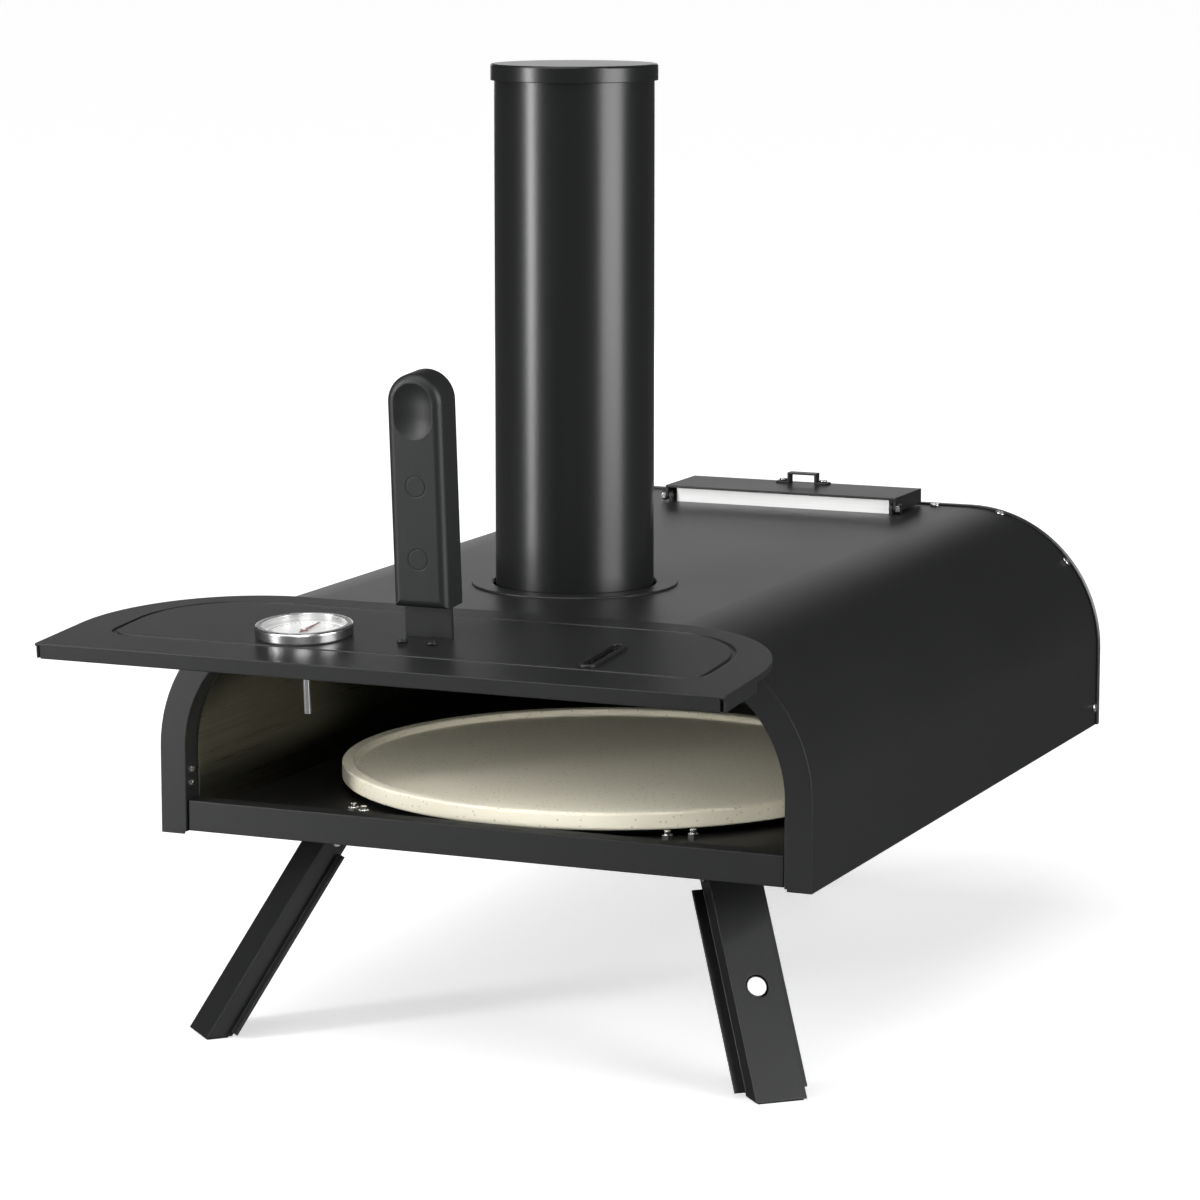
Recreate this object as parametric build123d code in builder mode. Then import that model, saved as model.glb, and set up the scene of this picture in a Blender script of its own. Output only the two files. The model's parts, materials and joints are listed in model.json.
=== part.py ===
from build123d import *
import os
from math import cos, radians, sin

# A portable wood fired pizza oven on three folding legs.
# Frame: millimetres, +X right, +Y to the rear, +Z up. The origin is on the ground,
# midway between the front edge of the open door and the rear cover.

# Driving dimensions
LEG_HEIGHT = 120.0
BODY_WIDTH = 400.0
BODY_HEIGHT = 138.0
BODY_DEPTH = 530.0
SIDE_HEIGHT = 50.0
CORNER_RADIUS = BODY_HEIGHT - SIDE_HEIGHT
SHEET = 1.5
THIN_SHEET = 1.2
FRONT = -197.5
REAR = FRONT + BODY_DEPTH
FLANGE = 14.5
SHELL_LENGTH = 524.0

PAN_FRONT_HALF_WIDTH = 183.0
PAN_FRONT_BOTTOM = 2.0
PAN_FRONT_TOP = 19.5
PAN_STEP = 12.0
PAN_LIP = 18.0

LINER_INSET = 16.0
LINER_START = 14.0
LINER_END = 501.0
LINER_LENGTH = LINER_END - LINER_START
FLOOR_TOP = 10.0

CHIMNEY_Y = FRONT + 137.6
CHIMNEY_RADIUS = 46.0
CHIMNEY_TOP = 438.7
COLLAR_RADIUS = 60.0
CAP_RADIUS = 48.1
CAP_HEIGHT = 9.3
ROOF_HOLE_RADIUS = 47.5

STONE_Y = FRONT + 190.0
STONE_RADIUS = 160.0
STONE_RIM = 8.0
STONE_RECESS = 4.0
STONE_HEIGHT = 10.0
STONE_BOTTOM = 14.8

DOOR_TILT = 4.0
DOOR_HALF_WIDTH = 202.0
DOOR_HEIGHT = 143.0
DOOR_SIDE = 51.0
DOOR_RADIUS = DOOR_HEIGHT - DOOR_SIDE
DOOR_RIM = 8.5
DOOR_ARC_RIM = 3.0
EMBOSS_HALF_WIDTH = 177.0
EMBOSS_LINE = 3.0
EMBOSS_START = 30.0
EMBOSS_SIDE = 70.0
EMBOSS_RADIUS = 56.0
EMBOSS_ROUND = 14.0
EMBOSS_DEPTH = 0.6
CORNER_NOTCH_WIDTH = 6.0
CORNER_NOTCH_LENGTH = 2.6
DOOR_EDGE_Y = FRONT - 134.4
DOOR_EDGE_Z = 132.0
HINGE_S = 137.7
HINGE_DROP = 5.9
HINGE_X = 86.0
HINGE_PIN_RADIUS = 1.5

THERMOMETER_X = -68.0
THERMOMETER_S = 60.0
BEZEL_RADIUS = 27.0
BEZEL_HEIGHT = 6.5
DIAL_RADIUS = 23.5

GRIP_WIDTH = 32.0
GRIP_DEPTH = 22.0
GRIP_BOTTOM = 18.0
GRIP_TOP = 146.0
GRIP_S = 76.0
THUMB_TOP = 16.0
THUMB_BOTTOM = 24.0
THUMB_RADIUS = 26.0
THUMB_CENTRE = 23.4
GRIP_MARKS = (61.0, 101.0)
GRIP_MARK_RADIUS = 6.0
GRIP_MARK_LINE = 0.6
GRIP_MARK_DEPTH = 0.15
GRIP_FRONT_ROUND = 4.5
GRIP_BACK_ROUND = 2.5
STRIP_WIDTH = 28.0
STRIP_THICKNESS = 2.0
STRIP_TOP = 70.0

VENT_X = 109.0
VENT_S = 60.0
VENT_LENGTH = 46.0
VENT_WIDTH = 8.0

LID_HALF_WIDTH = 80.0
LID_FRONT = FRONT + 470.0
LID_REAR = FRONT + 521.0
LID_TOP = 149.0
LID_BOTTOM = 139.2
LID_PIVOT_Y = FRONT + 473.0
LID_PIVOT_Z = 142.0
NECK_HALF_WIDTH = 74.0
NECK_FRONT = FRONT + 475.0
NECK_REAR = FRONT + 517.0

LEG_WIDTH = 30.0
LEG_FLANGE = 13.0
LEG_LIP = 6.5
LEG_PIVOT_HEIGHT = 110.0
LEG_PIVOT_INSET = 6.5
LEG_PIN_RADIUS = 2.5
FRONT_LEG_TILT = 34.0
REAR_LEG_TILT = 24.0
FRONT_LEG_FOOT = (182.0, FRONT + 5.0)
FRONT_LEG_AZIMUTH = 47.0
REAR_LEG_FOOT = (0.0, FRONT + 505.0)

os.makedirs("parts", exist_ok=True)


# An upright plane across the body: local x is +X, local y is height above the pan, normal to the front.
def across(y):
    return Plane(origin=(0, y, LEG_HEIGHT), x_dir=(1, 0, 0), z_dir=(0, -1, 0))


# A level plane at a height above the underside of the body.
def level(height):
    return Plane.XY.offset(LEG_HEIGHT + height)


# An outline with straight sides, two round corners and a flat top.
def arch(half_width, side_top, radius, bottom, mode=Mode.ADD):
    with BuildLine() as outline:
        Polyline((-half_width, side_top), (-half_width, bottom), (half_width, bottom), (half_width, side_top))
        right = JernArc((half_width, side_top), (0, 1), radius, 90)
        left = JernArc((-half_width, side_top), (0, 1), radius, -90)
        Line(left @ 1, right @ 1)
    make_face(outline.edges(), mode=mode)


# The body's arch, moved inward by an inset.
def body_arch(inset, bottom, mode=Mode.ADD):
    arch(BODY_WIDTH / 2 - inset, SIDE_HEIGHT, CORNER_RADIUS - inset, bottom, mode)


# A low domed screw head standing on a plane.
def button_head(plane, radius, height):
    with BuildSketch(plane) as head:
        Circle(radius)
    extrude(head.sketch, amount=height, taper=20)


def save(part, name):
    part.label = name
    export_step(part, f"parts/{name}.step")


# --- Body ---

with BuildPart() as outer_shell:
    with BuildSketch(across(FRONT + SHELL_LENGTH)):
        body_arch(0, 0)
        body_arch(SHEET, -5, Mode.SUBTRACT)
    extrude(amount=SHELL_LENGTH)
    with BuildSketch(across(FRONT + SHEET)):
        body_arch(0, 0)
        body_arch(FLANGE, -5, Mode.SUBTRACT)
    extrude(amount=SHEET)
    with BuildSketch(across(FRONT + LINER_START)):
        body_arch(FLANGE, SHEET)
        body_arch(LINER_INSET, -5, Mode.SUBTRACT)
    extrude(amount=LINER_START)
    with BuildSketch(level(BODY_HEIGHT - 5)):
        with Locations((0, CHIMNEY_Y)):
            Circle(ROOF_HOLE_RADIUS)
        with Locations((0, (NECK_FRONT + NECK_REAR) / 2)):
            Rectangle(2 * NECK_HALF_WIDTH, NECK_REAR - NECK_FRONT)
    extrude(amount=10, mode=Mode.SUBTRACT)
    with BuildSketch(level(BODY_HEIGHT - LINER_INSET - 0.5)):
        with Locations((-HINGE_X, FRONT + 4), (HINGE_X, FRONT + 4)):
            Rectangle(24, 12)
    extrude(amount=LINER_INSET + 5, mode=Mode.SUBTRACT)
save(outer_shell.part, "outer_shell")

with BuildPart() as base_pan:
    pan_start = FRONT + PAN_STEP
    pan_length = SHELL_LENGTH - PAN_STEP - 2
    with BuildSketch(level(0)):
        with Locations((0, pan_start)):
            Rectangle(BODY_WIDTH - 2 * SHEET, pan_length, align=(Align.CENTER, Align.MIN))
    extrude(amount=SHEET)
    with BuildSketch(level(0)):
        for side in (-1, 1):
            with Locations((side * (BODY_WIDTH / 2 - 1.5 * SHEET), pan_start)):
                Rectangle(SHEET, pan_length, align=(Align.CENTER, Align.MIN))
    extrude(amount=PAN_LIP)
    # the front edge steps up a little, then folds up and back as a stiff lip
    with BuildSketch(level(0)):
        with Locations((0, pan_start)):
            Rectangle(2 * PAN_FRONT_HALF_WIDTH, SHEET, align=(Align.CENTER, Align.MIN))
    extrude(amount=PAN_FRONT_BOTTOM + SHEET)
    for height in (PAN_FRONT_BOTTOM, PAN_FRONT_TOP - SHEET):
        with BuildSketch(level(height)):
            with Locations((0, FRONT + SHEET)):
                Rectangle(2 * PAN_FRONT_HALF_WIDTH, PAN_STEP, align=(Align.CENTER, Align.MIN))
        extrude(amount=SHEET)
    with BuildSketch(across(FRONT + 2 * SHEET)):
        with Locations((0, PAN_FRONT_BOTTOM)):
            Rectangle(2 * PAN_FRONT_HALF_WIDTH, PAN_FRONT_TOP - PAN_FRONT_BOTTOM, align=(Align.CENTER, Align.MIN))
    extrude(amount=SHEET)
    with BuildSketch(level(0)):
        with Locations((0, STONE_Y)):
            Circle(6)
    extrude(amount=SHEET, mode=Mode.SUBTRACT)
save(base_pan.part, "base_pan")

with BuildPart() as inner_liner:
    with BuildSketch(across(FRONT + LINER_END)):
        body_arch(LINER_INSET, SHEET)
        body_arch(LINER_INSET + THIN_SHEET, -5, Mode.SUBTRACT)
    extrude(amount=LINER_LENGTH)
    with BuildSketch(level(BODY_HEIGHT - LINER_INSET - 5)):
        with Locations((0, CHIMNEY_Y)):
            Circle(CHIMNEY_RADIUS - 1.5)
        with Locations((0, (NECK_FRONT + NECK_REAR) / 2)):
            Rectangle(2 * NECK_HALF_WIDTH, NECK_REAR - NECK_FRONT)
    extrude(amount=10, mode=Mode.SUBTRACT)
save(inner_liner.part, "inner_liner")

with BuildPart() as chamber_floor:
    floor_half = BODY_WIDTH / 2 - LINER_INSET - THIN_SHEET
    floor_plane = level(SHEET)
    with BuildSketch(floor_plane):
        with Locations((0, FRONT + LINER_START)):
            Rectangle(2 * floor_half, LINER_LENGTH, align=(Align.CENTER, Align.MIN))
    extrude(amount=FLOOR_TOP - SHEET)
    with BuildSketch(floor_plane):
        with Locations((0, FRONT + LINER_START - 1)):
            Rectangle(2 * (floor_half - THIN_SHEET), LINER_LENGTH + 2, align=(Align.CENTER, Align.MIN))
    extrude(amount=FLOOR_TOP - SHEET - THIN_SHEET, mode=Mode.SUBTRACT)
    with BuildSketch(level(0)):
        with Locations((0, STONE_Y)):
            Circle(9)
    extrude(amount=20, mode=Mode.SUBTRACT)
save(chamber_floor.part, "chamber_floor")

with BuildPart() as rear_cover:
    with BuildSketch(across(REAR)):
        body_arch(-1, 0)
    extrude(amount=SHEET)
    with BuildSketch(across(REAR - SHEET)):
        body_arch(-1, 0)
        body_arch(2 * SHEET, 2 * SHEET, Mode.SUBTRACT)
    extrude(amount=3)
    with BuildSketch(across(REAR - SHEET - 3)):
        body_arch(SHEET, PAN_LIP + 1)
        body_arch(2 * SHEET, -5, Mode.SUBTRACT)
    extrude(amount=8)
    with BuildSketch(across(REAR)):
        with Locations((0, 45)):
            with GridLocations(30, 16, 5, 3):
                SlotOverall(20, 5)
    extrude(amount=SHEET, mode=Mode.SUBTRACT)
save(rear_cover.part, "rear_cover")

with BuildPart() as rear_cover_screws:
    screw_y = REAR - 9.5
    for side in (-1, 1):
        roof_spot = Plane(origin=(side * 90, screw_y, LEG_HEIGHT + BODY_HEIGHT), z_dir=(0, 0, 1))
        button_head(roof_spot, 3.2, 1.6)
        for angle in (15, 50):
            normal = (side * sin(radians(angle)), 0, cos(radians(angle)))
            arc_x = side * (BODY_WIDTH / 2 - CORNER_RADIUS) + CORNER_RADIUS * normal[0]
            arc_z = LEG_HEIGHT + SIDE_HEIGHT + CORNER_RADIUS * normal[2]
            button_head(Plane(origin=(arc_x, screw_y, arc_z), z_dir=normal), 3.2, 1.6)
        side_spot = Plane(origin=(side * BODY_WIDTH / 2, screw_y, LEG_HEIGHT + 12), z_dir=(side, 0, 0))
        button_head(side_spot, 3.2, 1.6)
save(rear_cover_screws.part, "rear_cover_screws")

# --- Chimney ---

with BuildPart() as chimney_collar:
    with BuildSketch(level(BODY_HEIGHT)):
        with Locations((0, CHIMNEY_Y)):
            Circle(COLLAR_RADIUS)
            Circle(ROOF_HOLE_RADIUS + 0.3, mode=Mode.SUBTRACT)
    extrude(amount=1.0)
    chamfer(chimney_collar.edges().group_by(Axis.Z)[-1], 0.6)
save(chimney_collar.part, "chimney_collar")

with BuildPart() as chimney_pipe:
    with BuildSketch(level(BODY_HEIGHT - LINER_INSET)):
        with Locations((0, CHIMNEY_Y)):
            Circle(CHIMNEY_RADIUS)
            Circle(CHIMNEY_RADIUS - THIN_SHEET, mode=Mode.SUBTRACT)
    extrude(amount=CHIMNEY_TOP - SHEET - BODY_HEIGHT + LINER_INSET)
save(chimney_pipe.part, "chimney_pipe")

with BuildPart() as chimney_cap:
    with BuildSketch(level(CHIMNEY_TOP - CAP_HEIGHT)):
        with Locations((0, CHIMNEY_Y)):
            Circle(CAP_RADIUS)
    extrude(amount=CAP_HEIGHT)
    fillet(chimney_cap.edges().group_by(Axis.Z)[-1], 1.4)
    with BuildSketch(level(CHIMNEY_TOP - CAP_HEIGHT)):
        with Locations((0, CHIMNEY_Y)):
            Circle(CHIMNEY_RADIUS + 0.4)
    extrude(amount=CAP_HEIGHT - SHEET, mode=Mode.SUBTRACT)
save(chimney_cap.part, "chimney_cap")

# --- Turntable and stone ---

with BuildPart() as spindle_bush:
    with BuildSketch(level(0)):
        with Locations((0, STONE_Y)):
            Circle(6)
            Circle(4.05, mode=Mode.SUBTRACT)
    extrude(amount=SHEET)
    with BuildSketch(level(SHEET)):
        with Locations((0, STONE_Y)):
            Circle(8)
            Circle(4.05, mode=Mode.SUBTRACT)
    extrude(amount=9.5)
save(spindle_bush.part, "spindle_bush")

with BuildPart() as turntable:
    with BuildSketch(level(11.2)):
        with Locations((0, STONE_Y)):
            Circle(150)
    extrude(amount=STONE_BOTTOM - 11.2)
    with BuildSketch(level(11.2)):
        with Locations((0, STONE_Y)):
            Circle(146)
            Circle(12, mode=Mode.SUBTRACT)
    extrude(amount=STONE_BOTTOM - 11.2 - SHEET, mode=Mode.SUBTRACT)
save(turntable.part, "turntable")

with BuildPart() as turntable_spindle:
    with BuildSketch(level(0.5)):
        with Locations((0, STONE_Y)):
            Circle(4)
    extrude(amount=10.7)
save(turntable_spindle.part, "turntable_spindle")

with BuildPart() as pizza_stone:
    with BuildSketch(level(STONE_BOTTOM)):
        with Locations((0, STONE_Y)):
            Circle(STONE_RADIUS)
    extrude(amount=STONE_HEIGHT)
    with BuildSketch(level(STONE_BOTTOM + STONE_HEIGHT - STONE_RECESS)):
        with Locations((0, STONE_Y)):
            Circle(STONE_RADIUS - STONE_RIM)
    extrude(amount=STONE_RECESS, mode=Mode.SUBTRACT)
    fillet(pizza_stone.edges().filter_by(GeomType.CIRCLE), 1.2)
save(pizza_stone.part, "pizza_stone")

with BuildPart() as floor_studs:
    for x, y in ((-102, 61), (-93, 56), (93, 64), (105, 73), (-68, 37), (68, 37)):
        with BuildSketch(level(FLOOR_TOP)):
            with Locations((x, FRONT + y - 10)):
                RegularPolygon(3.4, 6)
        extrude(amount=3)
        with BuildSketch(level(FLOOR_TOP + 3)):
            with Locations((x, FRONT + y - 10)):
                Circle(1.9)
        extrude(amount=2.2)
save(floor_studs.part, "floor_studs")

with BuildPart() as liner_screws:
    lip_face = BODY_WIDTH / 2 - LINER_INSET
    for side in (-1, 1):
        for height in (29, 37):
            spot = Plane(origin=(side * lip_face, FRONT + 7, LEG_HEIGHT + height), z_dir=(-side, 0, 0))
            button_head(spot, 2.2, 1.4)
save(liner_screws.part, "liner_screws")

# --- Fire box and fuel inlet ---

with BuildPart() as flame_baffle:
    with BuildSketch(across(FRONT + 446)):
        body_arch(LINER_INSET + THIN_SHEET, 0)
        Rectangle(BODY_WIDTH, 72, align=(Align.CENTER, Align.MIN), mode=Mode.SUBTRACT)
    extrude(amount=THIN_SHEET)
save(flame_baffle.part, "flame_baffle")

with BuildPart() as fire_basket:
    basket_y = FRONT + 474
    with BuildSketch(level(FLOOR_TOP)):
        with Locations((0, basket_y)):
            Rectangle(140, 44)
    extrude(amount=54)
    with BuildSketch(level(FLOOR_TOP + 8)):
        with Locations((0, basket_y)):
            Rectangle(137, 41)
    extrude(amount=46, mode=Mode.SUBTRACT)
    with BuildSketch(level(FLOOR_TOP)):
        with Locations((0, basket_y)):
            Rectangle(137, 41)
    extrude(amount=6.5, mode=Mode.SUBTRACT)
    with BuildSketch(level(FLOOR_TOP)):
        with Locations((0, basket_y)):
            with GridLocations(22, 10, 6, 3):
                Circle(2.5)
    extrude(amount=8, mode=Mode.SUBTRACT)
    with BuildSketch(across(basket_y + 30)):
        with Locations((0, FLOOR_TOP + 30)):
            with GridLocations(22, 12, 6, 3):
                Circle(2.5)
    extrude(amount=60, mode=Mode.SUBTRACT)
save(fire_basket.part, "fire_basket")

with BuildPart() as fuel_neck:
    neck_y = (NECK_FRONT + NECK_REAR) / 2
    neck_depth = NECK_REAR - NECK_FRONT
    with BuildSketch(level(112)):
        with Locations((0, neck_y)):
            Rectangle(2 * NECK_HALF_WIDTH, neck_depth)
            Rectangle(2 * (NECK_HALF_WIDTH - THIN_SHEET), neck_depth - 2 * THIN_SHEET, mode=Mode.SUBTRACT)
    extrude(amount=LID_TOP - SHEET - 0.5 - 112)
save(fuel_neck.part, "fuel_neck")

with BuildPart() as fuel_lid:
    with BuildSketch(level(LID_TOP - SHEET)):
        with Locations((0, LID_FRONT)):
            Rectangle(2 * LID_HALF_WIDTH, LID_REAR - LID_FRONT, align=(Align.CENTER, Align.MIN))
    extrude(amount=SHEET)
    with BuildSketch(level(LID_BOTTOM)):
        with Locations((0, LID_REAR - SHEET)):
            Rectangle(2 * LID_HALF_WIDTH, SHEET, align=(Align.CENTER, Align.MIN))
    extrude(amount=LID_TOP - LID_BOTTOM)
    for cheek_x in (-LID_HALF_WIDTH, LID_HALF_WIDTH - SHEET):
        cheek_plane = Plane(origin=(cheek_x, 0, LEG_HEIGHT), x_dir=(0, 1, 0), z_dir=(1, 0, 0))
        with BuildSketch(cheek_plane):
            with Locations((LID_PIVOT_Y, LID_PIVOT_Z)):
                Circle(2.8)
            with Locations((LID_PIVOT_Y, LID_BOTTOM)):
                Rectangle(LID_REAR - LID_PIVOT_Y, LID_TOP - LID_BOTTOM, align=Align.MIN)
            with Locations((LID_FRONT + 0.2, LID_PIVOT_Z)):
                Rectangle(LID_PIVOT_Y - LID_FRONT, LID_TOP - LID_PIVOT_Z, align=Align.MIN)
            with Locations((LID_PIVOT_Y, LID_PIVOT_Z)):
                Circle(1.56, mode=Mode.SUBTRACT)
        extrude(amount=SHEET)
save(fuel_lid.part, "fuel_lid")

with BuildPart() as lid_brackets:
    for side in (-1, 1):
        ear_x = side * 76.8
        ear_plane = Plane(origin=(ear_x - 0.8, 0, LEG_HEIGHT), x_dir=(0, 1, 0), z_dir=(1, 0, 0))
        with BuildSketch(ear_plane):
            with Locations((LID_PIVOT_Y, LID_PIVOT_Z)):
                Circle(3)
            with Locations((LID_PIVOT_Y - 3, BODY_HEIGHT)):
                Rectangle(12, LID_PIVOT_Z - BODY_HEIGHT, align=Align.MIN)
            with Locations((LID_PIVOT_Y, LID_PIVOT_Z)):
                Circle(1.5, mode=Mode.SUBTRACT)
        extrude(amount=1.6)
save(lid_brackets.part, "lid_brackets")

with BuildPart() as lid_bolts:
    for side in (-1, 1):
        bolt_plane = Plane(
            origin=(side * 76.0, LID_PIVOT_Y, LEG_HEIGHT + LID_PIVOT_Z), z_dir=(side, 0, 0)
        )
        with BuildSketch(bolt_plane):
            Circle(1.5)
        extrude(amount=6)
        with BuildSketch(bolt_plane.offset(4.3)):
            RegularPolygon(3.4, 6)
        extrude(amount=2.4)
save(lid_bolts.part, "lid_bolts")

with BuildPart() as lid_handle:
    handle_plane = Plane(origin=(0, LID_REAR - 3, LEG_HEIGHT + LID_TOP), x_dir=(1, 0, 0), z_dir=(0, -1, 0))
    with BuildSketch(handle_plane):
        Rectangle(36, 1.2, align=(Align.CENTER, Align.MIN))
        Rectangle(20, 7, align=(Align.CENTER, Align.MIN))
        Rectangle(17.6, 5.8, align=(Align.CENTER, Align.MIN), mode=Mode.SUBTRACT)
    extrude(amount=7)
save(lid_handle.part, "lid_handle")

with BuildPart() as lid_handle_screws:
    for side in (-1, 1):
        spot = Plane(origin=(side * 14, LID_REAR - 6.5, LEG_HEIGHT + LID_TOP + 1.2), z_dir=(0, 0, 1))
        button_head(spot, 2.6, 1.5)
save(lid_handle_screws.part, "lid_handle_screws")

# --- Door, shown swung open ---
# The door plane: local x is +X, local y runs from the free edge towards the hinge,
# and the normal is the outer face, which leans forward a little.

door_plane = Plane(
    origin=(0, DOOR_EDGE_Y, LEG_HEIGHT + DOOR_EDGE_Z),
    x_dir=(1, 0, 0),
    z_dir=(0, -sin(radians(DOOR_TILT)), cos(radians(DOOR_TILT))),
)


# A plane parallel to the door at a point on it.
def door_spot(x, s, height=0.0):
    centre = door_plane.from_local_coords((x, s, height))
    return Plane(origin=centre, x_dir=door_plane.x_dir, z_dir=door_plane.z_dir)


with BuildPart() as door_panel:
    with BuildSketch(door_plane):
        arch(DOOR_HALF_WIDTH, DOOR_SIDE, DOOR_RADIUS, 0)
    extrude(amount=-DOOR_ARC_RIM)
    with BuildSketch(door_plane):
        Rectangle(2 * DOOR_HALF_WIDTH, DOOR_SIDE - 6, align=(Align.CENTER, Align.MIN))
    extrude(amount=-DOOR_RIM)
    with BuildSketch(door_plane.offset(-SHEET)):
        arch(DOOR_HALF_WIDTH - THIN_SHEET, DOOR_SIDE, DOOR_RADIUS - THIN_SHEET, THIN_SHEET)
    extrude(amount=-DOOR_RIM, mode=Mode.SUBTRACT)
    with BuildSketch(door_plane.offset(-SHEET)):
        for side in (-1, 1):
            with Locations((side * DOOR_HALF_WIDTH, 0)):
                Rectangle(CORNER_NOTCH_WIDTH, CORNER_NOTCH_LENGTH, align=Align.CENTER)
    extrude(amount=-DOOR_RIM, mode=Mode.SUBTRACT)
    with BuildSketch(door_plane) as door_emboss:
        arch(EMBOSS_HALF_WIDTH, EMBOSS_SIDE, EMBOSS_RADIUS, EMBOSS_START)
        fillet(door_emboss.vertices().group_by(Axis.Y)[0], EMBOSS_ROUND)
        offset(amount=-EMBOSS_LINE, mode=Mode.SUBTRACT)
    extrude(amount=-EMBOSS_DEPTH, mode=Mode.SUBTRACT)
    with BuildSketch(door_plane):
        with Locations((THERMOMETER_X, THERMOMETER_S)):
            Circle(3)
        with Locations((0, GRIP_S)):
            Rectangle(STRIP_WIDTH + 0.6, STRIP_THICKNESS + 0.4)
        with Locations((VENT_X, VENT_S)):
            SlotOverall(VENT_LENGTH, VENT_WIDTH - 2, rotation=90)
    extrude(amount=-SHEET, mode=Mode.SUBTRACT)
save(door_panel.part, "door_panel")

with BuildPart() as vent_louvre:
    with BuildSketch(door_plane):
        with Locations((VENT_X, VENT_S)):
            SlotOverall(VENT_LENGTH + 4, VENT_WIDTH + 2, rotation=90)
            SlotOverall(VENT_LENGTH, VENT_WIDTH - 2, rotation=90, mode=Mode.SUBTRACT)
    extrude(amount=1.8)
    chamfer(vent_louvre.faces().sort_by(SortBy.AREA)[-1].outer_wire().edges(), 0.5)
save(vent_louvre.part, "vent_louvre")

with BuildPart() as thermometer_bezel:
    bezel_plane = door_spot(THERMOMETER_X, THERMOMETER_S)
    with BuildSketch(bezel_plane):
        Circle(BEZEL_RADIUS)
    extrude(amount=BEZEL_HEIGHT)
    fillet(thermometer_bezel.edges().filter_by(GeomType.CIRCLE), 1.2)
    with BuildSketch(bezel_plane.offset(1.2)):
        Circle(DIAL_RADIUS)
    extrude(amount=BEZEL_HEIGHT, mode=Mode.SUBTRACT)
save(thermometer_bezel.part, "thermometer_bezel")

with BuildPart() as thermometer_dial:
    with BuildSketch(bezel_plane.offset(1.2)):
        Circle(DIAL_RADIUS)
    extrude(amount=0.8)
    with BuildSketch(bezel_plane.offset(2.0)):
        Circle(0.8)
    extrude(amount=1.8)
save(thermometer_dial.part, "thermometer_dial")

with BuildPart() as thermometer_needle:
    with BuildSketch(bezel_plane.offset(2.5)):
        Circle(2.2)
        with BuildLine():
            Polyline((-1.1, 0), (0, 19), (1.1, 0), (0, -6), close=True)
        make_face()
        Circle(0.86, mode=Mode.SUBTRACT)
    extrude(amount=0.6)
save(thermometer_needle.part, "thermometer_needle")

with BuildPart() as thermometer_glass:
    with BuildSketch(bezel_plane.offset(4.6)):
        Circle(DIAL_RADIUS)
    extrude(amount=1)
save(thermometer_glass.part, "thermometer_glass")

with BuildPart() as thermometer_probe:
    with BuildSketch(bezel_plane):
        Circle(3)
    extrude(amount=-7)
    with BuildSketch(bezel_plane.offset(-7)):
        Circle(2)
    extrude(amount=-37)
save(thermometer_probe.part, "thermometer_probe")

with BuildPart() as probe_nut:
    with BuildSketch(bezel_plane.offset(-SHEET)):
        RegularPolygon(6, 6)
        Circle(3, mode=Mode.SUBTRACT)
    extrude(amount=-3.5)
save(probe_nut.part, "probe_nut")

with BuildPart() as handle_bracket:
    with BuildSketch(door_plane.offset(-SHEET - STRIP_THICKNESS)):
        with Locations((0, GRIP_S - 24)):
            Rectangle(STRIP_WIDTH, 25, align=(Align.CENTER, Align.MIN))
    extrude(amount=STRIP_THICKNESS)
    with BuildSketch(door_plane.offset(-SHEET - STRIP_THICKNESS)):
        with Locations((0, GRIP_S)):
            Rectangle(STRIP_WIDTH, STRIP_THICKNESS)
    extrude(amount=STRIP_TOP + SHEET + STRIP_THICKNESS)
save(handle_bracket.part, "handle_bracket")

with BuildPart() as handle_screws:
    for side in (-1, 1):
        with BuildSketch(door_spot(side * 9, GRIP_S - 16)):
            Circle(3)
        extrude(amount=1.8, taper=20)
save(handle_screws.part, "handle_screws")

with BuildPart() as handle_grip:
    grip_face = Plane(
        origin=door_spot(0, GRIP_S - GRIP_DEPTH / 2, GRIP_BOTTOM).origin,
        x_dir=(1, 0, 0),
        z_dir=-door_plane.y_dir,
    )
    grip_length = GRIP_TOP - GRIP_BOTTOM
    with BuildSketch(grip_face):
        Rectangle(GRIP_WIDTH, grip_length - GRIP_WIDTH / 2, align=(Align.CENTER, Align.MIN))
        with Locations((0, grip_length - GRIP_WIDTH / 2)):
            Circle(GRIP_WIDTH / 2)
    extrude(amount=-GRIP_DEPTH)
    grip_axis = Axis(grip_face.origin, grip_face.z_dir)
    fillet(handle_grip.faces().sort_by(grip_axis)[-1].edges(), GRIP_FRONT_ROUND)
    fillet(handle_grip.faces().sort_by(grip_axis)[0].edges(), GRIP_BACK_ROUND)
    with BuildSketch(door_plane.offset(GRIP_BOTTOM)):
        with Locations((0, GRIP_S)):
            Rectangle(STRIP_WIDTH, STRIP_THICKNESS)
    extrude(amount=STRIP_TOP - GRIP_BOTTOM, mode=Mode.SUBTRACT)
    # a long thumb hollow near the top, with round ends
    thumb_top = grip_face.from_local_coords((0, grip_length - THUMB_TOP, THUMB_CENTRE))
    thumb_bottom = grip_face.from_local_coords((0, grip_length - THUMB_BOTTOM, THUMB_CENTRE))
    with BuildSketch(Plane(origin=thumb_bottom, z_dir=grip_face.y_dir)):
        Circle(THUMB_RADIUS)
    extrude(amount=THUMB_BOTTOM - THUMB_TOP, mode=Mode.SUBTRACT)
    with Locations(Location(thumb_top), Location(thumb_bottom)):
        Sphere(THUMB_RADIUS, mode=Mode.SUBTRACT)
    with BuildSketch(grip_face):
        for mark in GRIP_MARKS:
            with Locations((0, grip_length - mark)):
                Circle(GRIP_MARK_RADIUS)
                Circle(GRIP_MARK_RADIUS - GRIP_MARK_LINE, mode=Mode.SUBTRACT)
    extrude(amount=-GRIP_MARK_DEPTH, mode=Mode.SUBTRACT)
save(handle_grip.part, "handle_grip")

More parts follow.
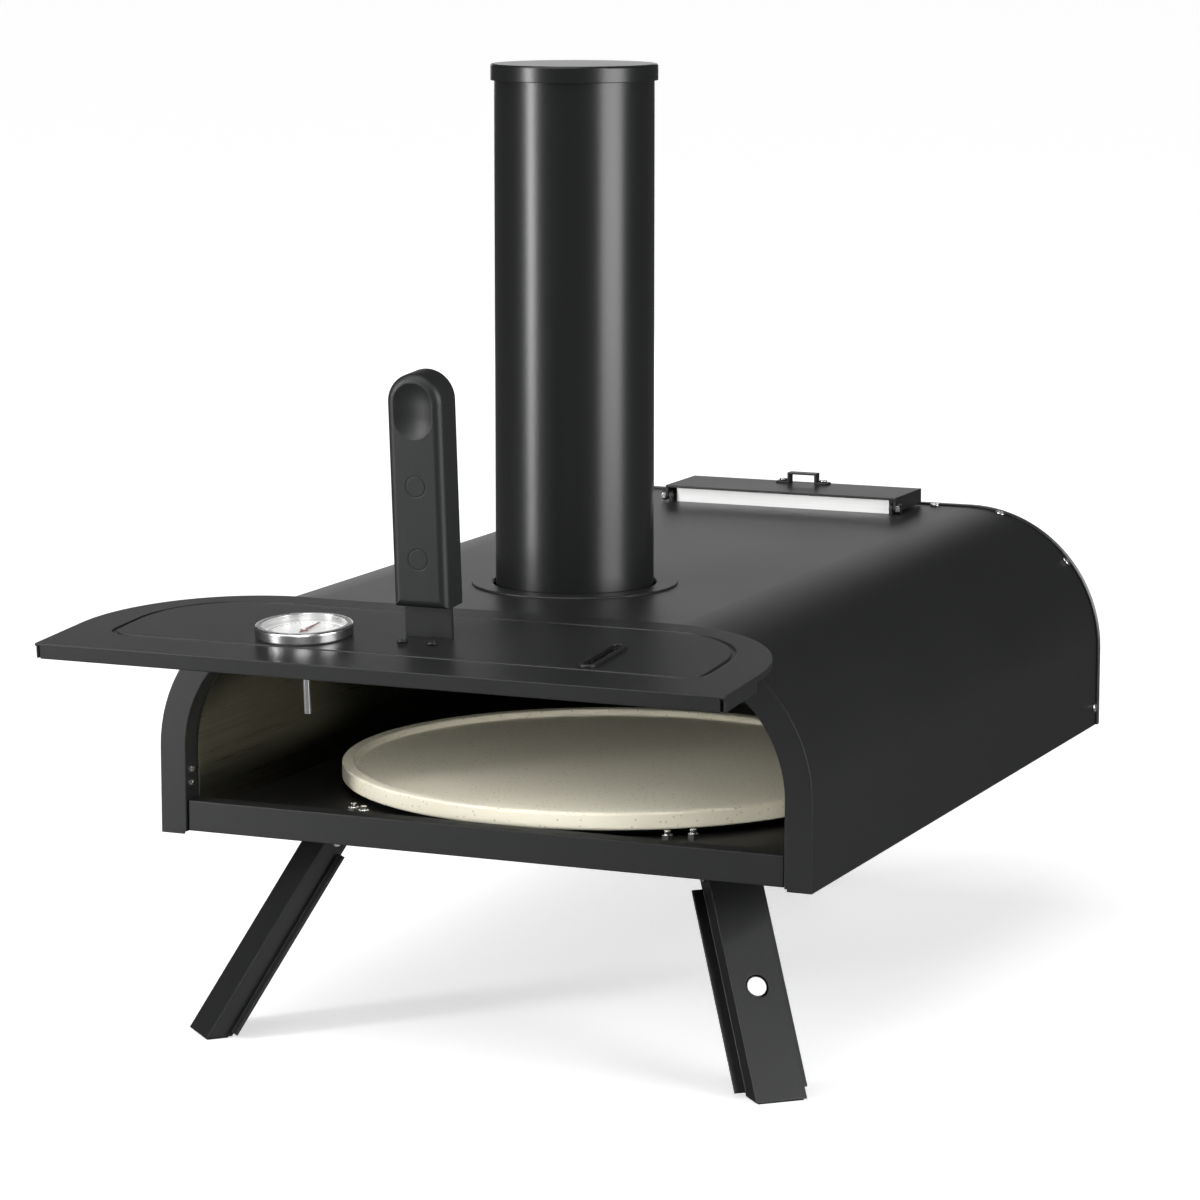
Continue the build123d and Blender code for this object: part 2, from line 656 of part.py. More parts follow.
# The hinge line runs under the outer face; each leaf carries one knuckle.
hinge_side = Plane(origin=door_plane.origin, x_dir=door_plane.y_dir, z_dir=(1, 0, 0))
hinge_y = FRONT + 3.4
hinge_z = LEG_HEIGHT + 135.7

with BuildPart() as door_hinge_leaves:
    for centre in (-HINGE_X, HINGE_X):
        with BuildSketch(hinge_side.offset(centre - 7.5)):
            with Locations((HINGE_S, -HINGE_DROP)):
                Circle(2.8)
            with Locations((HINGE_S - 2.8, -HINGE_DROP)):
                Rectangle(THIN_SHEET, HINGE_DROP - SHEET, align=Align.MIN)
            with Locations((HINGE_S, -HINGE_DROP)):
                Circle(HINGE_PIN_RADIUS + 0.06, mode=Mode.SUBTRACT)
        extrude(amount=15)
        with BuildSketch(door_plane.offset(-SHEET - THIN_SHEET)):
            with Locations((centre, HINGE_S - 16)):
                Rectangle(20, 16, align=(Align.CENTER, Align.MIN))
        extrude(amount=THIN_SHEET)
save(door_hinge_leaves.part, "door_hinge_leaves")

with BuildPart() as hinge_brackets:
    for centre in (-HINGE_X, HINGE_X):
        with BuildSketch(Plane.XY.offset(LEG_HEIGHT + BODY_HEIGHT - 2 * SHEET)):
            with Locations((centre, FRONT + 11)):
                Rectangle(20, 14, align=(Align.CENTER, Align.MIN))
        extrude(amount=SHEET)
        for ear in (-10, 8.5):
            with BuildSketch(Plane(origin=(centre + ear, 0, 0), x_dir=(0, 1, 0), z_dir=(1, 0, 0))):
                with Locations((FRONT + 1.7, LEG_HEIGHT + 132)):
                    Rectangle(12, BODY_HEIGHT - SHEET - 132, align=Align.MIN)
                with Locations((hinge_y, hinge_z)):
                    Circle(HINGE_PIN_RADIUS, mode=Mode.SUBTRACT)
            extrude(amount=SHEET)
save(hinge_brackets.part, "hinge_brackets")

with BuildPart() as hinge_pins:
    for centre in (-HINGE_X, HINGE_X):
        with BuildSketch(Plane(origin=(centre - 11, hinge_y, hinge_z), z_dir=(1, 0, 0))):
            Circle(HINGE_PIN_RADIUS)
        extrude(amount=22)
save(hinge_pins.part, "hinge_pins")


# --- Folding legs ---


# The section plane of a leg at its foot: local x is the hinge axis, local y points inward
# from the outer face, and the normal runs up the leg.
def leg_plane(foot, azimuth, tilt):
    outward = (cos(radians(azimuth)), sin(radians(azimuth)))
    up = (-sin(radians(tilt)) * outward[0], -sin(radians(tilt)) * outward[1], cos(radians(tilt)))
    return Plane(origin=(foot[0], foot[1], 0), x_dir=(-outward[1], outward[0], 0), z_dir=up)


# The distance up the outer face of a leg to its pivot.
def pivot_reach(tilt):
    return (LEG_PIVOT_HEIGHT + LEG_PIVOT_INSET * sin(radians(tilt))) / cos(radians(tilt))


# Everything below a height is cut away from the leg being built.
def trim_below(height, foot):
    with BuildSketch(Plane.XY.offset(height)) as ground:
        with Locations(foot):
            Rectangle(160, 160)
    extrude(ground.sketch, amount=-60, mode=Mode.SUBTRACT)


def make_leg(name, foot, azimuth, tilt, has_magnet):
    plane = leg_plane(foot, azimuth, tilt)
    reach = pivot_reach(tilt)
    top = reach + 4
    inner = LEG_WIDTH / 2 - SHEET
    hinge_plane = Plane(
        origin=plane.from_local_coords((0, LEG_PIVOT_INSET, reach)), x_dir=plane.y_dir, z_dir=plane.x_dir
    )

    with BuildPart() as leg:
        with BuildSketch(plane.offset(-20)):
            Rectangle(LEG_WIDTH, LEG_FLANGE, align=(Align.CENTER, Align.MIN))
            with Locations((0, SHEET)):
                Rectangle(2 * inner, LEG_FLANGE, align=(Align.CENTER, Align.MIN), mode=Mode.SUBTRACT)
        extrude(amount=top + 20)
        with BuildSketch(plane.offset(12)):
            for side in (-1, 1):
                with Locations((side * (LEG_WIDTH / 2 + LEG_LIP / 2 - 0.5), LEG_FLANGE - SHEET / 2)):
                    Rectangle(LEG_LIP + 1, SHEET)
        extrude(amount=reach - 17)
        with BuildSketch(plane.offset(reach - 3)):
            Rectangle(2 * inner, 4)
        extrude(amount=10, mode=Mode.SUBTRACT)
        with BuildSketch(hinge_plane):
            Circle(LEG_PIN_RADIUS + 0.06)
        extrude(amount=LEG_WIDTH, both=True, mode=Mode.SUBTRACT)
        if has_magnet:
            with BuildSketch(Plane(plane.from_local_coords((0, 0, reach / 2)), plane.x_dir, -plane.y_dir)):
                Circle(6.75)
            extrude(amount=-SHEET, mode=Mode.SUBTRACT)
        trim_below(1.0, foot)
    save(leg.part, name)

    with BuildPart() as pad:
        with BuildSketch(plane.offset(-20)):
            with Locations((0, SHEET)):
                Rectangle(2 * inner, LEG_FLANGE - 2.5, align=(Align.CENTER, Align.MIN))
        extrude(amount=40)
        trim_below(0.0, foot)
    save(pad.part, name + "_foot_pad")

    with BuildPart() as pin:
        with BuildSketch(hinge_plane.offset(-LEG_WIDTH / 2 - 1)):
            Circle(LEG_PIN_RADIUS)
        extrude(amount=LEG_WIDTH + 2)
    save(pin.part, name + "_pin")

    pivot = hinge_plane.origin
    with BuildPart() as bracket:
        seat = Plane(origin=(pivot.X, pivot.Y, LEG_HEIGHT), x_dir=plane.x_dir, z_dir=(0, 0, -1))
        with BuildSketch(seat):
            Rectangle(2 * inner - 1, 22)
        extrude(amount=SHEET)
        for ear_x in (-inner + 0.5, inner - 0.5 - SHEET):
            ear_plane = Plane(
                origin=pivot + plane.x_dir * ear_x, x_dir=(0, 0, 1), z_dir=plane.x_dir
            )
            with BuildSketch(ear_plane):
                Circle(4.5)
                Rectangle(LEG_HEIGHT - LEG_PIVOT_HEIGHT - SHEET / 2, 7, align=(Align.MIN, Align.CENTER))
                Circle(LEG_PIN_RADIUS, mode=Mode.SUBTRACT)
            extrude(amount=SHEET)
    save(bracket.part, name + "_bracket")

    if has_magnet:
        with BuildPart() as magnet:
            with BuildSketch(Plane(plane.from_local_coords((0, 4.5, reach / 2)), plane.x_dir, -plane.y_dir)):
                Circle(5.5)
            extrude(amount=4.1)
        save(magnet.part, "leg_magnet")
        with BuildPart() as keeper:
            with BuildSketch(plane.offset(reach / 2 - 9)):
                with Locations((0, 4.5)):
                    Rectangle(2 * inner, SHEET, align=(Align.CENTER, Align.MIN))
            extrude(amount=18)
        save(keeper.part, "magnet_keeper")


left_foot = (-FRONT_LEG_FOOT[0], FRONT_LEG_FOOT[1])
make_leg("leg_front_right", FRONT_LEG_FOOT, -FRONT_LEG_AZIMUTH, FRONT_LEG_TILT, True)
make_leg("leg_front_left", left_foot, FRONT_LEG_AZIMUTH - 180, FRONT_LEG_TILT, False)
make_leg("leg_rear", REAR_LEG_FOOT, 90, REAR_LEG_TILT, False)
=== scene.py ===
import bpy
import json
import math
from mathutils import Matrix, Vector


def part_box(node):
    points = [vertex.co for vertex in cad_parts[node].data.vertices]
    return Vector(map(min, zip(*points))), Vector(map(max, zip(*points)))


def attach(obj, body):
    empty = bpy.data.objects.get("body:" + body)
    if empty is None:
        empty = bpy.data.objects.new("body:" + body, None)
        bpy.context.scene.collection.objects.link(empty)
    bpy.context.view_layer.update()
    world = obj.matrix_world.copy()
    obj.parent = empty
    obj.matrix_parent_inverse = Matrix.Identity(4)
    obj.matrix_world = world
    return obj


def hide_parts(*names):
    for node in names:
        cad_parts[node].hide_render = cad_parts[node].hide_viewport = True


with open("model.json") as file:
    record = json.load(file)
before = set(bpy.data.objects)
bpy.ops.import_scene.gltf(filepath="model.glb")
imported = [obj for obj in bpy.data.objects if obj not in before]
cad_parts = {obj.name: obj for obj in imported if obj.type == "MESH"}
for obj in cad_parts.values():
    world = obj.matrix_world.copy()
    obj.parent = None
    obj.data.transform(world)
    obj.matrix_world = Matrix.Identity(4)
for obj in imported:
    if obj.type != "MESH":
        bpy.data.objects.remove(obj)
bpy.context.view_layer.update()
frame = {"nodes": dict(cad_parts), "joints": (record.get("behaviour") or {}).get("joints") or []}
nodes = frame["nodes"]
joints = {joint["name"]: joint for joint in frame["joints"]}
bpy.ops.object.select_all(action="DESELECT")
print("frame loaded:", len(nodes), "nodes")

# sockets of a colour Mix node, by their place in its lists
mixFactor, mixFirst, mixSecond, mixResult = 0, 6, 7, 2
grainSpec = {"fineDetail": 3, "cloudScale": 9, "cloudDetail": 5, "middle": 0.5}
edgeSpec = {"samples": 6, "flat": 0.995, "sharp": 0.8}
brushSpec = {"scale": 1, "detail": 4, "smooth": 0.2, "rough": 0.42, "depth": 0.0002}


def newGroup(name, inputs, outputs):
    group = bpy.data.node_groups.new(name, "ShaderNodeTree")
    for label, kind, value in inputs:
        socket = group.interface.new_socket(label, in_out="INPUT", socket_type=kind)
        socket.default_value = value
    for label, kind in outputs:
        group.interface.new_socket(label, in_out="OUTPUT", socket_type=kind)
    return group, group.nodes.new("NodeGroupInput"), group.nodes.new("NodeGroupOutput")


def makeGrainGroup():
    # fine orange peel of a baked coating, with slow patches of tone and gloss
    group, given, result = newGroup(
        "coatGrain",
        [("Tone", "NodeSocketColor", (0.02, 0.02, 0.02, 1)), ("Patch", "NodeSocketColor", (0.03, 0.03, 0.03, 1)),
         ("Roughness", "NodeSocketFloat", 0.4), ("Spread", "NodeSocketFloat", 0.08),
         ("Grain Scale", "NodeSocketFloat", 900.0)],
        [("Color", "NodeSocketColor"), ("Roughness", "NodeSocketFloat"), ("Height", "NodeSocketFloat")])
    link = group.links.new
    where = group.nodes.new("ShaderNodeTexCoord")
    grain = group.nodes.new("ShaderNodeTexNoise")
    grain.inputs["Detail"].default_value = grainSpec["fineDetail"]
    cloud = group.nodes.new("ShaderNodeTexNoise")
    cloud.inputs["Scale"].default_value = grainSpec["cloudScale"]
    cloud.inputs["Detail"].default_value = grainSpec["cloudDetail"]
    blendTone = group.nodes.new("ShaderNodeMix")
    blendTone.data_type = "RGBA"
    gloss = group.nodes.new("ShaderNodeMath")
    gloss.operation = "MULTIPLY_ADD"
    centred = group.nodes.new("ShaderNodeMath")
    centred.operation = "SUBTRACT"
    centred.inputs[1].default_value = grainSpec["middle"]
    link(where.outputs["Object"], grain.inputs["Vector"])
    link(where.outputs["Object"], cloud.inputs["Vector"])
    link(given.outputs["Grain Scale"], grain.inputs["Scale"])
    link(cloud.outputs["Fac"], blendTone.inputs[mixFactor])
    link(given.outputs["Tone"], blendTone.inputs[mixFirst])
    link(given.outputs["Patch"], blendTone.inputs[mixSecond])
    link(cloud.outputs["Fac"], centred.inputs[0])
    link(centred.outputs[0], gloss.inputs[0])
    link(given.outputs["Spread"], gloss.inputs[1])
    link(given.outputs["Roughness"], gloss.inputs[2])
    link(blendTone.outputs[mixResult], result.inputs["Color"])
    link(gloss.outputs[0], result.inputs["Roughness"])
    link(grain.outputs["Fac"], result.inputs["Height"])
    return group


def makeEdgeGroup():
    # rounded normals along hard edges, and a mask of those edges
    group, given, result = newGroup(
        "softEdge", [("Radius", "NodeSocketFloat", 0.0006)],
        [("Normal", "NodeSocketVector"), ("Edge", "NodeSocketFloat")])
    link = group.links.new
    bevel = group.nodes.new("ShaderNodeBevel")
    bevel.samples = edgeSpec["samples"]
    shape = group.nodes.new("ShaderNodeNewGeometry")
    turn = group.nodes.new("ShaderNodeVectorMath")
    turn.operation = "DOT_PRODUCT"
    mask = group.nodes.new("ShaderNodeMapRange")
    mask.inputs["From Min"].default_value = edgeSpec["flat"]
    mask.inputs["From Max"].default_value = edgeSpec["sharp"]
    link(given.outputs["Radius"], bevel.inputs["Radius"])
    link(bevel.outputs["Normal"], turn.inputs[0])
    link(shape.outputs["Normal"], turn.inputs[1])
    link(turn.outputs["Value"], mask.inputs["Value"])
    link(bevel.outputs["Normal"], result.inputs["Normal"])
    link(mask.outputs["Result"], result.inputs["Edge"])
    return group


def makeBrushGroup():
    # long fine streaks along one direction, set by how much each axis is stretched
    group, given, result = newGroup(
        "brushedStreaks",
        [("Stretch", "NodeSocketVector", (900.0, 6.0, 900.0)), ("Dark", "NodeSocketColor", (0.3, 0.3, 0.28, 1)),
         ("Light", "NodeSocketColor", (0.6, 0.6, 0.56, 1))],
        [("Color", "NodeSocketColor"), ("Roughness", "NodeSocketFloat"), ("Height", "NodeSocketFloat")])
    link = group.links.new
    where = group.nodes.new("ShaderNodeTexCoord")
    scale = group.nodes.new("ShaderNodeVectorMath")
    scale.operation = "MULTIPLY"
    streak = group.nodes.new("ShaderNodeTexNoise")
    streak.inputs["Scale"].default_value = brushSpec["scale"]
    streak.inputs["Detail"].default_value = brushSpec["detail"]
    tone = group.nodes.new("ShaderNodeMix")
    tone.data_type = "RGBA"
    gloss = group.nodes.new("ShaderNodeMapRange")
    gloss.inputs["To Min"].default_value = brushSpec["smooth"]
    gloss.inputs["To Max"].default_value = brushSpec["rough"]
    link(where.outputs["Object"], scale.inputs[0])
    link(given.outputs["Stretch"], scale.inputs[1])
    link(scale.outputs[0], streak.inputs["Vector"])
    link(streak.outputs["Fac"], tone.inputs[mixFactor])
    link(given.outputs["Dark"], tone.inputs[mixFirst])
    link(given.outputs["Light"], tone.inputs[mixSecond])
    link(streak.outputs["Fac"], gloss.inputs["Value"])
    link(tone.outputs[mixResult], result.inputs["Color"])
    link(gloss.outputs[0], result.inputs["Roughness"])
    link(streak.outputs["Fac"], result.inputs["Height"])
    return group


grainGroup = makeGrainGroup()
edgeGroup = makeEdgeGroup()
brushGroup = makeBrushGroup()
print("node groups made")


def startMaterial(name):
    material = bpy.data.materials.new(name)
    material.use_nodes = True
    return material, material.node_tree, material.node_tree.nodes["Principled BSDF"]


def placeGroup(tree, group, **values):
    node = tree.nodes.new("ShaderNodeGroup")
    node.node_tree = group
    for label, value in values.items():
        node.inputs[label.replace("_", " ")].default_value = value
    return node


def raiseSurface(tree, height, edge, shader, strength, distance):
    bump = tree.nodes.new("ShaderNodeBump")
    bump.inputs["Strength"].default_value = strength
    bump.inputs["Distance"].default_value = distance
    tree.links.new(height, bump.inputs["Height"])
    tree.links.new(edge.outputs["Normal"], bump.inputs["Normal"])
    tree.links.new(bump.outputs["Normal"], shader.inputs["Normal"])


def coated(name, look):
    # a solid coating or moulding: paint, plastic or rubber
    material, tree, shader = startMaterial(name)
    grain = placeGroup(tree, grainGroup, Tone=look["tone"] + (1,), Patch=look["patch"] + (1,),
                  Roughness=look["roughness"], Spread=look["spread"], Grain_Scale=look["grainScale"])
    edge = placeGroup(tree, edgeGroup, Radius=look["edge"])
    # along hard edges the base colour turns to the edge tone: partly edge wear, partly painted light, a painted
    # highlight on the dark coatings and painted edge shade on the pale dial
    edgeWearAndLight = tree.nodes.new("ShaderNodeMix")
    edgeWearAndLight.data_type = "RGBA"
    edgeWearAndLight.inputs[mixSecond].default_value = look["edgeWearAndLightTone"] + (1,)
    tree.links.new(edge.outputs["Edge"], edgeWearAndLight.inputs[mixFactor])
    tree.links.new(grain.outputs["Color"], edgeWearAndLight.inputs[mixFirst])
    tree.links.new(edgeWearAndLight.outputs[mixResult], shader.inputs["Base Color"])
    tree.links.new(grain.outputs["Roughness"], shader.inputs["Roughness"])
    raiseSurface(tree, grain.outputs["Height"], edge, shader, look["bump"], look["depth"])
    shader.inputs["Specular IOR Level"].default_value = look.get("specular", 0.5)
    return material


def steel(name, look):
    material, tree, shader = startMaterial(name)
    brush = placeGroup(tree, brushGroup, Stretch=look["stretch"],
                       Dark=look["dark"] + (1,), Light=look["light"] + (1,))
    edge = placeGroup(tree, edgeGroup, Radius=look["edge"])
    shader.inputs["Metallic"].default_value = look.get("metallic", 1.0)
    tree.links.new(brush.outputs["Color"], shader.inputs["Base Color"])
    if look["polish"] is None:
        tree.links.new(brush.outputs["Roughness"], shader.inputs["Roughness"])
    else:
        shader.inputs["Roughness"].default_value = look["polish"]
    raiseSurface(tree, brush.outputs["Height"], edge, shader, look["bump"], brushSpec["depth"])
    return material


def stoneMaterial(name, look):
    material, tree, shader = startMaterial(name)
    where = tree.nodes.new("ShaderNodeTexCoord")
    speck = tree.nodes.new("ShaderNodeTexVoronoi")
    speck.inputs["Scale"].default_value = look["speckScale"]
    speckMask = tree.nodes.new("ShaderNodeMapRange")
    speckMask.inputs["From Min"].default_value = look["speckCore"]
    speckMask.inputs["From Max"].default_value = look["speckRim"]
    grain = placeGroup(tree, grainGroup, Tone=look["tone"] + (1,), Patch=look["patch"] + (1,),
                  Roughness=look["roughness"], Spread=look["spread"], Grain_Scale=look["grainScale"])
    edge = placeGroup(tree, edgeGroup, Radius=look["edge"])
    mixSpeck = tree.nodes.new("ShaderNodeMix")
    mixSpeck.data_type = "RGBA"
    mixSpeck.inputs[mixFirst].default_value = look["speck"] + (1,)
    tree.links.new(where.outputs["Object"], speck.inputs["Vector"])
    tree.links.new(speck.outputs["Distance"], speckMask.inputs["Value"])
    tree.links.new(speckMask.outputs["Result"], mixSpeck.inputs[mixFactor])
    tree.links.new(grain.outputs["Color"], mixSpeck.inputs[mixSecond])
    tree.links.new(mixSpeck.outputs[mixResult], shader.inputs["Base Color"])
    tree.links.new(grain.outputs["Roughness"], shader.inputs["Roughness"])
    raiseSurface(tree, grain.outputs["Height"], edge, shader, look["bump"], look["depth"])
    return material


def glassMaterial(name, look):
    material, tree, shader = startMaterial(name)
    shader.inputs["Base Color"].default_value = look["tone"] + (1,)
    shader.inputs["Roughness"].default_value = look["roughness"]
    shader.inputs["Alpha"].default_value = look["alpha"]
    shader.inputs["IOR"].default_value = look["ior"]
    edge = placeGroup(tree, edgeGroup, Radius=look["edge"])
    tree.links.new(edge.outputs["Normal"], shader.inputs["Normal"])
    return material


# each look's edge tone is partly wear and partly painted light along edges: lighter than the tone on dark coatings
# as a painted highlight, darker on the dial pieces as painted shade
powderLook = {"tone": (0.0100, 0.0108, 0.0104), "patch": (0.0135, 0.0145, 0.0140), "roughness": 0.43,
              "spread": 0.07, "grainScale": 950.0, "bump": 0.22, "depth": 0.00025, "edge": 0.0009,
              "edgeWearAndLightTone": (0.028, 0.028, 0.029)}
chimneyLook = dict(powderLook, roughness=0.28, spread=0.04, bump=0.10, patch=(0.0115, 0.0125, 0.0120))
innerBlackLook = dict(powderLook, tone=(0.006, 0.006, 0.006), patch=(0.010, 0.0095, 0.009), roughness=0.5)
gripLook = {"tone": (0.0105, 0.0116, 0.0113), "patch": (0.0142, 0.0156, 0.0152), "roughness": 0.48, "spread": 0.06,
            "grainScale": 1500.0, "bump": 0.3, "depth": 0.0002, "edge": 0.0008, "edgeWearAndLightTone": (0.02, 0.02, 0.02)}
rubberLook = dict(gripLook, roughness=0.75, specular=0.3, grainScale=700.0)
dialLook = {"tone": (0.94, 0.94, 0.93), "patch": (0.92, 0.92, 0.91), "roughness": 0.4, "spread": 0.05,
            "grainScale": 1500.0, "bump": 0.03, "depth": 0.0001, "edge": 0.0002, "edgeWearAndLightTone": (0.7, 0.7, 0.7)}
needleLook = dict(dialLook, tone=(0.22, 0.05, 0.04), patch=(0.18, 0.04, 0.03), edgeWearAndLightTone=(0.2, 0.05, 0.05))
markLook = dict(dialLook, tone=(0.02, 0.02, 0.02), patch=(0.03, 0.03, 0.03), edgeWearAndLightTone=(0.03, 0.03, 0.03))
linerLook = {"stretch": (700.0, 5.0, 700.0), "dark": (0.16, 0.155, 0.125), "light": (0.34, 0.335, 0.27),
             "edge": 0.0006, "polish": None, "bump": 0.15}
neckLook = {"stretch": (6.0, 900.0, 900.0), "dark": (0.80, 0.80, 0.79), "light": (0.96, 0.96, 0.95),
            "edge": 0.0004, "polish": 0.45, "bump": 0.04, "metallic": 0.45}
screwLook = {"stretch": (300.0, 300.0, 300.0), "dark": (0.62, 0.62, 0.62), "light": (0.80, 0.80, 0.80),
             "edge": 0.0004, "polish": 0.2, "bump": 0.02}
bezelLook = {"stretch": (60.0, 60.0, 2000.0), "dark": (0.62, 0.62, 0.62), "light": (0.76, 0.76, 0.76),
             "edge": 0.0006, "polish": 0.24, "bump": 0.02, "metallic": 1.0}
brassLook = dict(screwLook, dark=(0.55, 0.40, 0.18), light=(0.75, 0.56, 0.28))
stoneLook = {"tone": (0.76, 0.71, 0.56), "patch": (0.84, 0.80, 0.66), "speck": (0.56, 0.51, 0.38),
             "speckScale": 260.0, "speckCore": 0.10, "speckRim": 0.22, "roughness": 0.85, "spread": 0.15,
             "grainScale": 420.0, "bump": 0.35, "depth": 0.0004, "edge": 0.0012}
glassLook = {"tone": (0.98, 0.99, 0.99), "roughness": 0.03, "alpha": 0.07, "ior": 1.5, "edge": 0.0004}

materials = {
    "powder": coated("powderCoat", powderLook), "chimney": coated("chimneyCoat", chimneyLook),
    "inner": coated("innerBlack", innerBlackLook), "grip": coated("gripPlastic", gripLook),
    "rubber": coated("footRubber", rubberLook), "dial": coated("dialEnamel", dialLook),
    "needle": coated("needlePaint", needleLook), "mark": coated("dialInk", markLook),
    "liner": steel("linerSteel", linerLook), "neck": steel("neckSteel", neckLook),
    "screw": steel("zincScrew", screwLook), "bezel": steel("polishedBezel", bezelLook),
    "brass": steel("bushBrass", brassLook), "stone": stoneMaterial("cordierite", stoneLook),
    "glass": glassMaterial("dialGlass", glassLook),
}

finishes = {
    "chimney": ["chimney_pipe", "chimney_cap"],
    "inner": ["chamber_floor", "flame_baffle", "turntable"],
    "grip": ["handle_grip"],
    "dial": ["thermometer_dial"],
    "needle": ["thermometer_needle"],
    "glass": ["thermometer_glass"],
    "bezel": ["thermometer_bezel"],
    "liner": ["inner_liner", "fire_basket"],
    "neck": ["fuel_neck", "leg_magnet"],
    "brass": ["spindle_bush"],
    "stone": ["pizza_stone"],
    "screw": ["thermometer_probe", "probe_nut", "rear_cover_screws", "floor_studs", "liner_screws",
              "lid_bolts", "lid_handle_screws", "hinge_pins", "turntable_spindle"],
}
finishOf = {name: finish for finish, names in finishes.items() for name in names}


def finishNodes():
    for name, piece in nodes.items():
        finish = finishOf.get(name, "powder")
        if name.endswith("_foot_pad"):
            finish = "rubber"
        if name.endswith("_pin"):
            finish = "screw"
        piece.data.materials.clear()
        piece.data.materials.append(materials[finish])


finishNodes()
print("materials assigned")


def deselect():
    bpy.ops.object.select_all(action="DESELECT")


def settle(piece, place):
    # moves a piece made at the origin to its place, and leaves the place in its mesh
    piece.matrix_world = place @ piece.matrix_world
    deselect()
    piece.select_set(True)
    bpy.context.view_layer.objects.active = piece
    bpy.ops.object.transform_apply(location=True, rotation=True, scale=True)


def joinPieces(pieces, name):
    deselect()
    for piece in pieces:
        piece.select_set(True)
    bpy.context.view_layer.objects.active = pieces[0]
    bpy.ops.object.join()
    pieces[0].name = name
    return pieces[0]


def standOn(centre, normal):
    # a frame whose Z is the normal
    return Matrix.Translation(centre) @ Vector(normal).to_track_quat("Z", "Y").to_matrix().to_4x4()


def dressed(piece, finish, body):
    piece.data.materials.clear()
    piece.data.materials.append(materials[finish])
    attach(piece, body)
    return piece


screwSizes = {"rear": {"radius": 0.0032, "height": 0.0016}, "handle": {"radius": 0.0030, "height": 0.0018},
              "lid": {"radius": 0.0026, "height": 0.0015}}


# the cross is cut as shares of the head's radius and height
crossSpec = {"sides": 32, "round": 0.7, "roundSteps": 4, "armLength": 1.15, "armWidth": 0.24, "armDepth": 0.9,
             "smooth": 35}


def crossHead(name, size, place):
    deselect()
    bpy.ops.mesh.primitive_cylinder_add(vertices=crossSpec["sides"], radius=size["radius"], depth=size["height"],
                                        location=(0, 0, size["height"] / 2))
    head = bpy.context.object
    head.name = name
    rounded = head.modifiers.new("round", "BEVEL")
    rounded.width = size["height"] * crossSpec["round"]
    rounded.segments = crossSpec["roundSteps"]
    rounded.limit_method = "ANGLE"
    bpy.ops.object.modifier_apply(modifier="round")
    arms = []
    armSize = (size["radius"] * crossSpec["armLength"], size["radius"] * crossSpec["armWidth"],
               size["height"] * crossSpec["armDepth"])
    for turn in (0, math.pi / 2):
        bpy.ops.mesh.primitive_cube_add(size=1, location=(0, 0, size["height"]), rotation=(0, 0, turn),
                                        scale=armSize)
        arms.append(bpy.context.object)
    for arm in arms:
        cut = head.modifiers.new("recess", "BOOLEAN")
        cut.object = arm
        cut.operation = "DIFFERENCE"
        bpy.context.view_layer.objects.active = head
        bpy.ops.object.modifier_apply(modifier="recess")
        bpy.data.objects.remove(arm)
    settle(head, place)
    deselect()
    head.select_set(True)
    bpy.ops.object.shade_smooth_by_angle(angle=math.radians(crossSpec["smooth"]))
    return head


def islandBoxes(name):
    # the centre of each separate solid in a CAD node, found by merging vertices that share a triangle
    mesh = nodes[name].data
    keys = [tuple(round(c, 6) for c in vertex.co) for vertex in mesh.vertices]
    parent = {key: key for key in keys}

    def root(key):
        while parent[key] != key:
            key = parent[key]
        return key

    for polygon in mesh.polygons:
        first = root(keys[polygon.vertices[0]])
        for index in polygon.vertices[1:]:
            parent[root(keys[index])] = first
    groups = {}
    for key in set(keys):
        groups.setdefault(root(key), []).append(Vector(key))
    centres = []
    for points in groups.values():
        low = Vector([min(p[i] for p in points) for i in range(3)])
        high = Vector([max(p[i] for p in points) for i in range(3)])
        centres.append((low + high) / 2)
    return sorted(centres, key=lambda c: (round(c.x, 4), round(c.y, 4), round(c.z, 4)))


shellLow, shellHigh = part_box("outer_shell")
cornerRadius = 0.088
cornerX = shellHigh.x - cornerRadius
cornerZ = shellHigh.z - cornerRadius


def shellSpot(centre):
    # the nearest point of the arched shell, and the outward direction there
    side = math.copysign(1, centre.x)
    if centre.z < cornerZ:
        return Vector((side * shellHigh.x, centre.y, centre.z)), Vector((side, 0, 0))
    if abs(centre.x) < cornerX:
        return Vector((centre.x, centre.y, shellHigh.z)), Vector((0, 0, 1))
    out = Vector((centre.x - side * cornerX, 0, centre.z - cornerZ)).normalized()
    return Vector((side * cornerX, centre.y, cornerZ)) + out * cornerRadius, out


def makeScrews():
    heads = []
    for centre in islandBoxes("rear_cover_screws"):
        spot, out = shellSpot(centre)
        heads.append(crossHead("rearScrew", screwSizes["rear"], standOn(spot, out)))
    rear = dressed(joinPieces(heads, "rearScrewHeads"), "screw", "oven_body")
    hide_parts("rear_cover_screws")
    lidTop = Vector((0, 0, 1))
    heads = []
    for centre in islandBoxes("lid_handle_screws"):
        foot = Vector((centre.x, centre.y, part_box("lid_handle_screws")[0].z))
        heads.append(crossHead("lidScrew", screwSizes["lid"], standOn(foot, lidTop)))
    lid = dressed(joinPieces(heads, "lidScrewHeads"), "screw", "lid")
    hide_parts("lid_handle_screws")
    tilt = Vector(joints["needle_turn"]["axis"])
    heads = []
    for centre in islandBoxes("handle_screws"):
        foot = centre - tilt * screwSizes["handle"]["height"] / 2
        heads.append(crossHead("handleScrew", screwSizes["handle"], standOn(foot, tilt)))
    handle = dressed(joinPieces(heads, "handleScrewHeads"), "powder", "door")
    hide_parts("handle_screws")


makeScrews()
print("screws made")


dialSpec = {"ticks": 41, "sweep": 270.0, "outer": 0.0215, "long": 0.0036, "short": 0.0020, "width": 0.00035,
            "thick": 0.00012, "dialDepth": 0.0008, "longEvery": 5}


